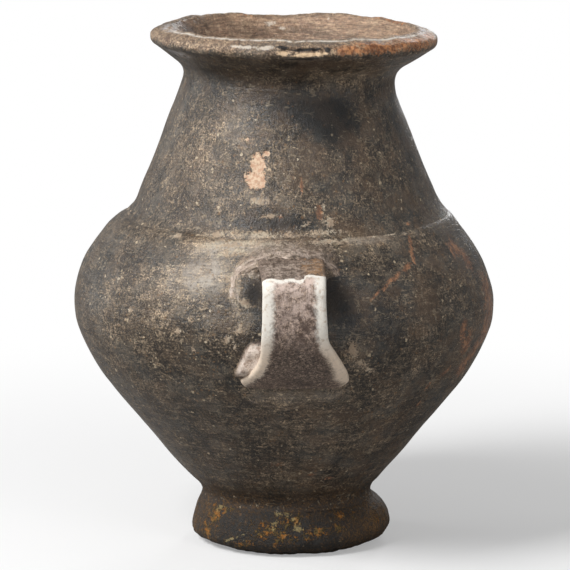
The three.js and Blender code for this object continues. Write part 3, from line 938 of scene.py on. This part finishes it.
# Tones of the lip, among them painted shade under the front of its edge.
LIP_TONES_AND_PAINTED_LIGHT = (
    (-60, 292, 40, 12, 0.2), (-14, 296, 14, 8, 0.3), (60, 292, 50, 14, 0.3),
    (180, 296, 90, 14, 0.4), (4, 287, 26, 3, -0.6), (-110, 290, 26, 12, -0.5),
    (-150, 285, 40, 7, -0.4), (150, 286, 40, 8, -0.2),
) + THROAT_TONES_AND_PAINTED_LIGHT

# Marks on the lip: turn, distance along its outline, half the width, half the height, tilt.
LIP_MARKS = {
    # Painted sheen: pale bluish streaks on the bevel at both ends of the lip, and lower on its
    # left.
    "painted_lip_sheen": ((-80, 44, 34, 5, 0), (84, 44, 24, 4, 0), (-60, 24, 16, 5, 0)),
    "rust": (
        (34, 35, 30, 8, 0), (56, 36, 30, 9, 0), (75, 38, 24, 9, 0), (20, 34, 12, 5, 0),
        (125, 49, 30, 6, 0), (-160, 50, 20, 3, 0),
    ),
    "slip": (
        (-17, 36, 16, 7, 0), (-3, 40, 10, 4, 0), (-95, 44, 26, 6, 0), (100, 34, 22, 6, 0),
        (160, 34, 40, 6, 0), (10, 41, 10, 3, 0),
    ),
    "pale": ((2.5, 32, 10, 1.5, 0), (-7, 32.4, 3.6, 1.7, 0), (9, 32.6, 3, 1, 0)),
    # Painted shadow: near-black lines in the chip under its broken overhang, and one below it.
    "painted_chip_shadow": (
        (2, 35.2, 12, 1.1, 0), (10.6, 34.4, 2, 1.8, 0), (-7.5, 35.6, 4, 1.6, 0),
        (1, 29.6, 13, 0.7, 0),
    ),
    # Cream spots inside at the back, and painted glints on the front of the lip left of the chip.
    "cream_spots_and_glints": (
        (-170, 54, 4.5, 1.8, 0), (-176, 57, 3.6, 1.2, 0), (160, 52, 1.6, 1.2, 0),
        (-20.5, 35.4, 6.5, 1.4, 0), (-14, 35, 6.5, 1.4, 0), (-25.5, 35.8, 4, 1.1, 0),
    ),
    "ochre": (), "lime": (), "chip": (),
}

lip_clay, shader, place = new_finish("lip_clay")
below, dullness, height = wall_clay(place)
worn_clay = clay_of(place, (76, 60, 48), (116, 94, 76), (190, 166, 138), trace(place, "tone"))
worn_through = mark(place, "worn", 2.2, 0.8)
rust_tone = mottled(place, (122, 68, 34), (212, 144, 90), 3, 4, 0.7, 0.4, 0.6)
upper = coats(
    worn_clay["Colour"],
    (mark(place, "rust", 1.2, 0.9), 0.85, rust_tone),
    (mark(place, "slip", 1.6, 0.9), 0.75, tone(84, 76, 68)),
    (dots(place, 620.0, 0.22, 0.34), 0.5, tone(204, 186, 158)),
)
# Painted sheen on the lip, broken up by a cloud.
painted_lip_sheen = times(span(trace(place, "painted_lip_sheen"), 0.0, 0.8), patches(place, 4, 4, 0.7, 0.4, 0.6))
# A thin pale line along the front of the crest: worn clay and a painted highlight.
crest = times(trace(place, "crest"), patches(place, 5, 4, 0.7, 0.34, 0.56))
colour = coats(
    below,
    (worn_through, 1.0, upper),
    (painted_lip_sheen, 0.75, tone(214, 210, 212)),
    (crest, 0.9, tone(226, 218, 206)),
    # Cream spots and painted glints.
    (mark(place, "cream_spots_and_glints", 2.4, 0.7), 0.72, tone(222, 210, 194)),
    (mark(place, "pale", 1.4, 0.4), 0.9, tone(222, 192, 156)),
    # Painted shadow in and below the chip.
    (mark(place, "painted_chip_shadow", 0.8, 0.4), 1.0, tone(28, 20, 15)),
)
finish_with(shader, colour, plus(worn_through, 0.1, dullness), height, 0.0005)

along = along + 0.0 * z
new_piece("rim_lip_clay", spun(radius, z), {
    "tone": soft(LIP_TONES_AND_PAINTED_LIGHT, radius, z),
    "worn": (ramp(28, 34, along) - ramp(46, 52, along)) * 1.6 - 0.7,
    "upright": 1.0 - ramp(2, 14, along),
    # The pale crest line, on the front only: wear and a painted highlight.
    "crest": (ramp(42, 43, along) - ramp(43.6, 44.8, along)) * ramp(0.1, 0.5, np.cos(turns)),
    "inside": ramp(46.5, 50, along),
    **{name: near(places, LIP_R, along) for name, places in LIP_MARKS.items()},
}, ("rim_lip",), lip_clay)

# Handle strap: one slab of clay, bent to a grip, with a tenon at each end pushed through the
# wall. The dark skin is rubbed off its edges to cream, and its level top has flaked rough. The
# cream on its sides also stands for a painted highlight, and its inner face is painted darker
# with shade.
STRAP_LINE = np.array((
    (88, 183), (102, 181.6), (124, 179), (136, 177.2), (141.6, 173.2), (142.6, 166),
    (142.4, 152), (138.2, 140.5), (128, 127.6), (114, 115.5), (100, 107),
), float)
STRAP_WIDTHS = np.array((36, 37, 36, 35.5, 35, 35, 36, 38.5, 48, 61, 64), float)
STRAP_THICKNESS = 9.4
STRAP_ENDS = (0.5, 9.75)
STRAP_ROWS = 230
STRAP_SIDES = 120
STRAP_SQUARENESS = 3.4
STRAP_HOLLOW = 0.9
FLAKE_DEPTH = 0.8
TONGUE = 0.85
SIDE_SHIFT = 2.8


def through(points, t):
    """A curve through points, one at each whole t: the uniform Catmull-Rom cubic."""
    i = np.clip(t.astype(int), 0, len(points) - 2)
    u = t - i
    if points.ndim > 1:
        u = u[:, None]
    before, after = points[np.maximum(i - 1, 0)], points[np.minimum(i + 2, len(points) - 1)]
    first, second = points[i], points[i + 1]
    return 0.5 * (
        2 * first + (second - before) * u
        + (2 * before - 5 * first + 4 * second - after) * u ** 2
        + (3 * first - before - 3 * second + after) * u ** 3
    )


def power(value, exponent):
    """A signed power, which squares the oval of a superellipse."""
    return np.sign(value) * np.abs(value) ** exponent


def recede(across, z):
    """How far the round wall falls back at a distance across from the handle's middle."""
    wall = outer_radius(z)
    return wall - np.sqrt(wall ** 2 - across ** 2)


t = np.linspace(*STRAP_ENDS, STRAP_ROWS)
centre = through(STRAP_LINE, t)
going = np.gradient(centre, axis=0)
going /= np.hypot(*going.T)[:, None]
arc = np.concatenate(([0.0], np.cumsum(np.hypot(*np.diff(centre, axis=0).T))))
round_it = np.linspace(0.0, 2.0 * math.pi, STRAP_SIDES, endpoint=False)[:, None]
across = power(np.cos(round_it), 2.0 / STRAP_SQUARENESS) + 0.0 * t
out = power(np.sin(round_it), 2.0 / STRAP_SQUARENESS) + 0.0 * t
# The lower end is a rounded tongue: towards its corners, the rows run less far.
t_here = t - TONGUE * across ** 2 * ramp(8.2, STRAP_ENDS[1], t)
centre_away, centre_z, going_away, going_z, arc, half_wide = (
    np.interp(t_here, t, row)
    for row in (*centre.T, *going.T, arc, through(STRAP_WIDTHS, t) / 2.0)
)
outer_face = ramp(0.3, 0.95, out)
top_end = 3.45 + 0.12 * waves(across * 0.18, 0.0, 9.0, 91) - 0.35 * ramp(0.22, 0.36, across)
top_face = ramp(1.2, 1.9, t_here) * (1.0 - ramp(-0.05, 0.05, t_here - top_end))
top_face = top_face * outer_face
patch = half_wide * across / MEAN_R
skin_relief = (
    -0.25 + 0.16 * waves(patch, arc, 18.0, 92) + 0.05 * waves(patch, arc, 5.0, 93)
    + top_face * (0.35 * waves(patch, arc, 4.2, 94) - 0.25 - FLAKE_DEPTH)
)
thick = STRAP_THICKNESS / 2.0 * out - STRAP_HOLLOW * ramp(0.2, 0.9, out) * (1 - across ** 2)
thick = thick * (1.0 - 0.35 * np.abs(across) ** 3 * ramp(7.8, 9.4, t_here))
thick = thick + skin_relief * out
shift = SIDE_SHIFT * ramp(6.6, 7.9, t_here) * ramp(9.2, 8.2, t_here)
x = across * (half_wide + 0.5 * skin_relief) + shift
lies_on = 1.0 - ramp(0.8, 2.3, t_here) + ramp(7.8, 9.3, t_here)
away = centre_away - going_z * thick - lies_on * recede(x, centre_z)
z = centre_z + going_away * thick
x, away, z = (
    np.concatenate((a[:, :1] * 0 + a[:, :1].mean(), a, a[:, -1:] * 0 + a[:, -1:].mean()), axis=1)
    for a in (x, away, z)
)
strap = leaned(x, -away, z)


def capped(values):
    """Values on the strap's rows, with the first and last row's again for its two ends."""
    values = values + 0.0 * across
    return np.concatenate((values[:, :1], values, values[:, -1:]), axis=1)


front = ramp(-0.1, 0.1, t_here - top_end)
low = ramp(6.0, 7.6, t_here)
# Pale edges of the strap's front: worn clay, and on its sides a painted highlight as well.
left_edge_worn_and_lit = 1.7 - (1.0 + across) / (0.27 - 0.09 * low) - 0.6 * ramp(7.0, 9.0, t_here)
right_edge_worn_and_lit = 1.8 - (1.0 - across) / (0.25 - 0.03 * low) - 0.2 * low - 0.6 * ramp(8.5, 8.9, t_here)
lip_rub = 1.2 - np.abs(t_here - top_end - 0.16) / 0.2
edges = np.maximum(np.maximum(left_edge_worn_and_lit, right_edge_worn_and_lit), lip_rub)
worn_and_lit_edges = np.where(front > 0.5, edges, -1.0 + 0.0 * edges)
worn_and_lit_edges = np.where(out < 0.0, np.minimum(worn_and_lit_edges, 0.6 - 1.6 * np.abs(out)), worn_and_lit_edges)
facet_mark = 1.3 - np.hypot((across + 1.0) / 0.2, t_here - 8.0)


def kneaded(place):
    """Clay worked by the fingers on top of the strap and at its root, light and dark."""
    return mottled(place, (98, 84, 73), (186, 168, 154), 3.6, 4, 0.75, 0.42, 0.6)


handle_clay, shader, place = new_finish("handle_clay")
clay = clay_of(place, (58, 47, 40), (96, 80, 70), (164, 144, 128), trace(place, "tone"))
rough, low_down = trace(place, "rough"), trace(place, "lower")
grain = times(strokes(place, 1.0, 0.2, 0.14), 0.4)
rosy = plus(cloud(place, 5, 4, 0.75), 0.6, grain)
blush = times(trace(place, "blush"), span(rosy, 0.40, 0.58))
soft_soot = times(patches(place, 7, 4, 0.75, 0.42, 0.6), trace(place, "sooty"))
grit = times(dots(place, 520.0, 0.3, 0.36), rough)
colour = coats(
    clay["Colour"],
    (blush, 0.85, tone(222, 200, 188)),
    (soft_soot, 0.85, tone(70, 54, 46)),
    (rough, 0.8, kneaded(place)),
    (dots(place, 620.0, 0.4, 0.46), 0.45, tone(64, 46, 40)),
    (grit, 0.7, tone(206, 190, 168)),
    (mark(place, "ochre", 2.6, 1.0), 0.6, tone(178, 134, 88)),
    (mark(place, "facet", 1.4, 0.7), 0.85, tone(224, 208, 192)),
    # Cream on the strap's edges: clay worn pale, and along the sides a painted highlight, warmer
    # low down where the strap is in shade.
    (mark(place, "cream", 0.9, 0.9), 0.95, lay(
        lay(tone(242, 237, 227), low_down, tone(240, 220, 198)),
        patches(place, 2.2, 3, 0.5, 0.5, 0.75), tone(214, 198, 180))),
)
dullness = span(clay["Dullness"], 0.0, 1.0, 0.42, 0.62)
height = times(clay["Height"], plus(rough, 1.2, 0.5))
finish_with(shader, colour, dullness, height, 0.0004)

new_piece("handle_strap_clay", strap, {name: capped(values) for name, values in {
    # Tone: the front face lighter, less so low down, and painted shade on the inner face towards
    # the wall.
    "tone": 0.5 * front * (1 - 0.9 * low) - 1.2 * (out < -0.2),
    # Cream edges: wear and a painted highlight.
    "cream": worn_and_lit_edges,
    "facet": facet_mark,
    "blush": front * (1 - low) * (1.0 - 0.6 * ramp(4.4, 6.0, t_here)),
    "sooty": ramp(4.0, 5.4, t_here) * (1 - 0.6 * low),
    "rough": top_face,
    "lower": low,
    "ochre": 1.0 - np.hypot((across - 0.7) / 0.55, (t_here - 2.3) / 1.2),
}.items()}, ("handle_strap",), handle_clay, closed=False)

# Root collars: soft clay smeared by the fingers round each root of the strap, thick against
# the strap and feathered out on the wall. The upper one spreads in an arch over the root.
PAD_SIDES = 256
PAD_ROWS = 90
PAD_BACK = -2.6
PAD_BACK_ROWS = 16
RING_REACH = 0.024
ARCH_CHIPS = (
    (-16.9, 166.6, 2.2, 4.2, 0), (-14, 162.6, 5, 2, -32), (-17.6, 173, 1.4, 3, 10),
    (-15.6, 178, 2.6, 1.2, 40), (-9.5, 175, 1, 2, 10), (-10.9, 158.6, 3.4, 1.4, 0),
)


def root_pad(middle, half_wide, half_high, rise):
    """A pad of clay on the wall, its places across and up in mm, and their turns. From its
    middle to its edge goes s, round it the angle v, and `rise` gives its height at a place."""
    v = np.linspace(2.0 * math.pi, 0.0, PAD_SIDES, endpoint=False)[:, None]
    s = np.concatenate((np.linspace(0.0, 1.0, PAD_ROWS), np.linspace(1.0, 0.0, PAD_BACK_ROWS)))
    x = half_wide * s * np.cos(v)
    z = middle + half_high * s * np.sin(v)
    height = rise(x, z)
    height[:, PAD_ROWS:] = PAD_BACK
    turn = np.arcsin(x / outer_radius(z))
    wall = outer_radius(z) + skin(turn, z) - dent(turn, z) + height
    return leaned(x, -np.sqrt(wall ** 2 - x ** 2), z), x, z, turn


def off_strap(x, z, middle, half_wide, half_high):
    """Distance on the wall from the strap's rounded footprint."""
    beside = np.maximum(np.abs(x) - half_wide, 0.0)
    above = np.maximum(np.abs(z - middle) - half_high, 0.0)
    return np.hypot(beside, above)


def upper_ring(x, z):
    """Rings round the upper root: distance from its middle as a share of the arch's reach."""
    return np.hypot((x + 2.5) / 31.5, (z - 167.0) / 20.5)


def lower_ring(x, z):
    """Rings round the lower root: distance from its middle as a share of its clay's reach."""
    return np.hypot(x / 41.0, (z - 117.0) / 23.0)


def left_lobe(x, z):
    """The lobe pressed up on the left of the lower root, 0 to 1: a wedge that leans on the
    strap, faded by a smooth step of the distance beyond its outer edge, top and bottom."""
    across = x + 0.43 * (137.0 - z)
    beyond = np.hypot(
        np.maximum(-23.0 - across, 0.0) / 4.5,
        np.maximum(z - 134.5, 0.0) / 7.0 + np.maximum(124.0 - z, 0.0) / 8.0,
    )
    return ramp(1.0, 0.15, beyond) * ramp(-8.0, -14.0, across)


def kneading(x, z, seed):
    """Unevenness of a pad in mm: waves about 13 mm and 4.5 mm long."""
    return 0.3 * waves(x / MEAN_R, z, 13.0, seed) + 0.14 * waves(x / MEAN_R, z, 4.5, seed + 1)


def upper_rise(x, z):
    """A fillet round the strap, and an arch of smeared clay over it, highest on its line, with
    ridges that the fingers left along it."""
    arch = upper_ring(x, z)
    legs = np.where(x < 0.0, ramp(152, 164, z), ramp(162, 182, z))
    fillet = np.exp(-np.maximum(off_strap(x, z, 181.0, 17.0, 1.5) - 1.5, 0.0) / 3.4)
    over = ramp(21, 15, np.abs(x)) * ramp(182, 185, z) * ramp(194, 187, z)
    return (
        -1.2
        + 7.0 * fillet
        + (2.6 + 1.4 * waves(x / MEAN_R, z, 7.0, 104)) * over
        + 1.4 * bell(arch, 0.97, 0.12) * legs
        + 1.3 * ramp(0.2, -0.2, arch - 1.0) * ramp(172, 180, z)
        + kneading(x, z, 101)
        + 0.3 * waves(arch * 0.25, 0.0, 2.6, 103, 8) * bell(arch, 0.9, 0.3) * legs
    )


def lower_rise(x, z):
    """A low mound under the root, a lobe of clay pressed up on its left side and a smaller
    one on its right."""
    mound = np.hypot(x / 40.0, (z - 110.0) / 17.0)
    return (
        -1.2
        + 3.2 * ramp(1.0, 0.3, mound)
        + 6.8 * left_lobe(x, z) * (1.0 + 0.12 * waves(x / MEAN_R, z, 9.0, 112))
        + 2.4 * bell(x, 28, 5) * bell(z, 124, 8)
        + kneading(x, z, 111)
    )


collar_clay, shader, place = new_finish("collar_clay")
colour, dullness, height = wall_clay(place)
swept = node(place, "CombineXYZ", {0: trace(place, "ring"), 1: trace(place, "sweep")}).outputs[0]
fingers = strokes(swept, 1.0, 0.12, 1.0)
smear = times(trace(place, "smear"), patches(place, 5, 4, 0.75, 0.36, 0.54, 0.25, 1.0))
facet_tone = mottled(place, (230, 214, 200), (182, 158, 142), 2.6, 4, 0.75, 0.46, 0.62)
colour = coats(
    colour,
    (patches(place, 6, 4, 0.7, 0.36, 0.64, 0.0, 0.6), trace(place, "blush"), tone(186, 156, 142)),
    (trace(place, "kneaded"), 0.8, kneaded(place)),
    (mark(place, "facet", 1.4, 0.7), 0.9, facet_tone),
    (smear, span(fingers, 0.5, 0.38, 0.0, 0.7), tone(38, 32, 29)),
    (smear, span(fingers, 0.5, 0.61, 0.0, 0.9), tone(214, 194, 178)),
)
height = plus(times(fingers, smear), 2.5, height)
finish_with(shader, colour, dullness, height, 0.0005)


def pad_traces(x, z, turn, ring, smear, blush, facet, more_tone):
    """What the wall's clay reads at places on a pad, with the pad's own rings, smears, blush,
    pale facet and tone."""
    traces = wall_traces(outer_radius(z), z, turn=turn)
    return {
        **traces,
        "tone": traces["tone"] + more_tone,
        "ring": RING_REACH * ring,
        "sweep": RING_REACH * np.arctan2(x, z - np.min(z)),
        "smear": smear,
        "kneaded": bell(off_strap(x, z, 181.0, 16.0, 3.0), 0, 6) * ramp(170, 178, z),
        "blush": blush,
        "facet": facet,
    }


pad, x, z, turn = root_pad(175.0, 43.0, 25.0, upper_rise)
ring = upper_ring(x, z)
legs = np.where(x < 0.0, ramp(150, 162, z), ramp(166, 182, z))
on_arch = bell(ring, 0.93, 0.13) * legs
smear = np.maximum(on_arch, ramp(1.0, 0.9, ring) * ramp(174, 180, z) * legs)
within_arch = ramp(1.05, 0.85, ring) * ramp(167, 174, z)
beside_root = bell(x, -20, 4) * bell(z, 177.5, 4.5)
new_piece(
    "upper_root_smear", pad, pad_traces(
        x, z, turn, ring, smear, on_arch * ramp(168, 178, z),
        1.5 * near(ARCH_CHIPS, outer_radius(z), z, turn),
        0.9 * on_arch + 1.6 * within_arch + 1.2 * beside_root),
    ("upper_root_collar",), collar_clay, closed=False,
)

pad, x, z, turn = root_pad(112.0, 48.0, 36.0, lower_rise)
lobe = left_lobe(x, z)
ring = lower_ring(x, z)
smear = bell(ring, 0.95, 0.14) * (1.0 - ramp(118, 140, z))
# The lobe on the left of the lower root takes a blush, a pale facet and a higher tone: pale clay,
# and a painted highlight where the light falls on it.
new_piece(
    "lower_root_smear", pad, pad_traces(
        x, z, turn, ring, smear + 0.2 * lobe, lobe, 1.8 * lobe - 0.5,
        lobe + 0.4 * ramp(1.0, 0.8, ring)),
    ("lower_root_collar",), collar_clay, closed=False,
)
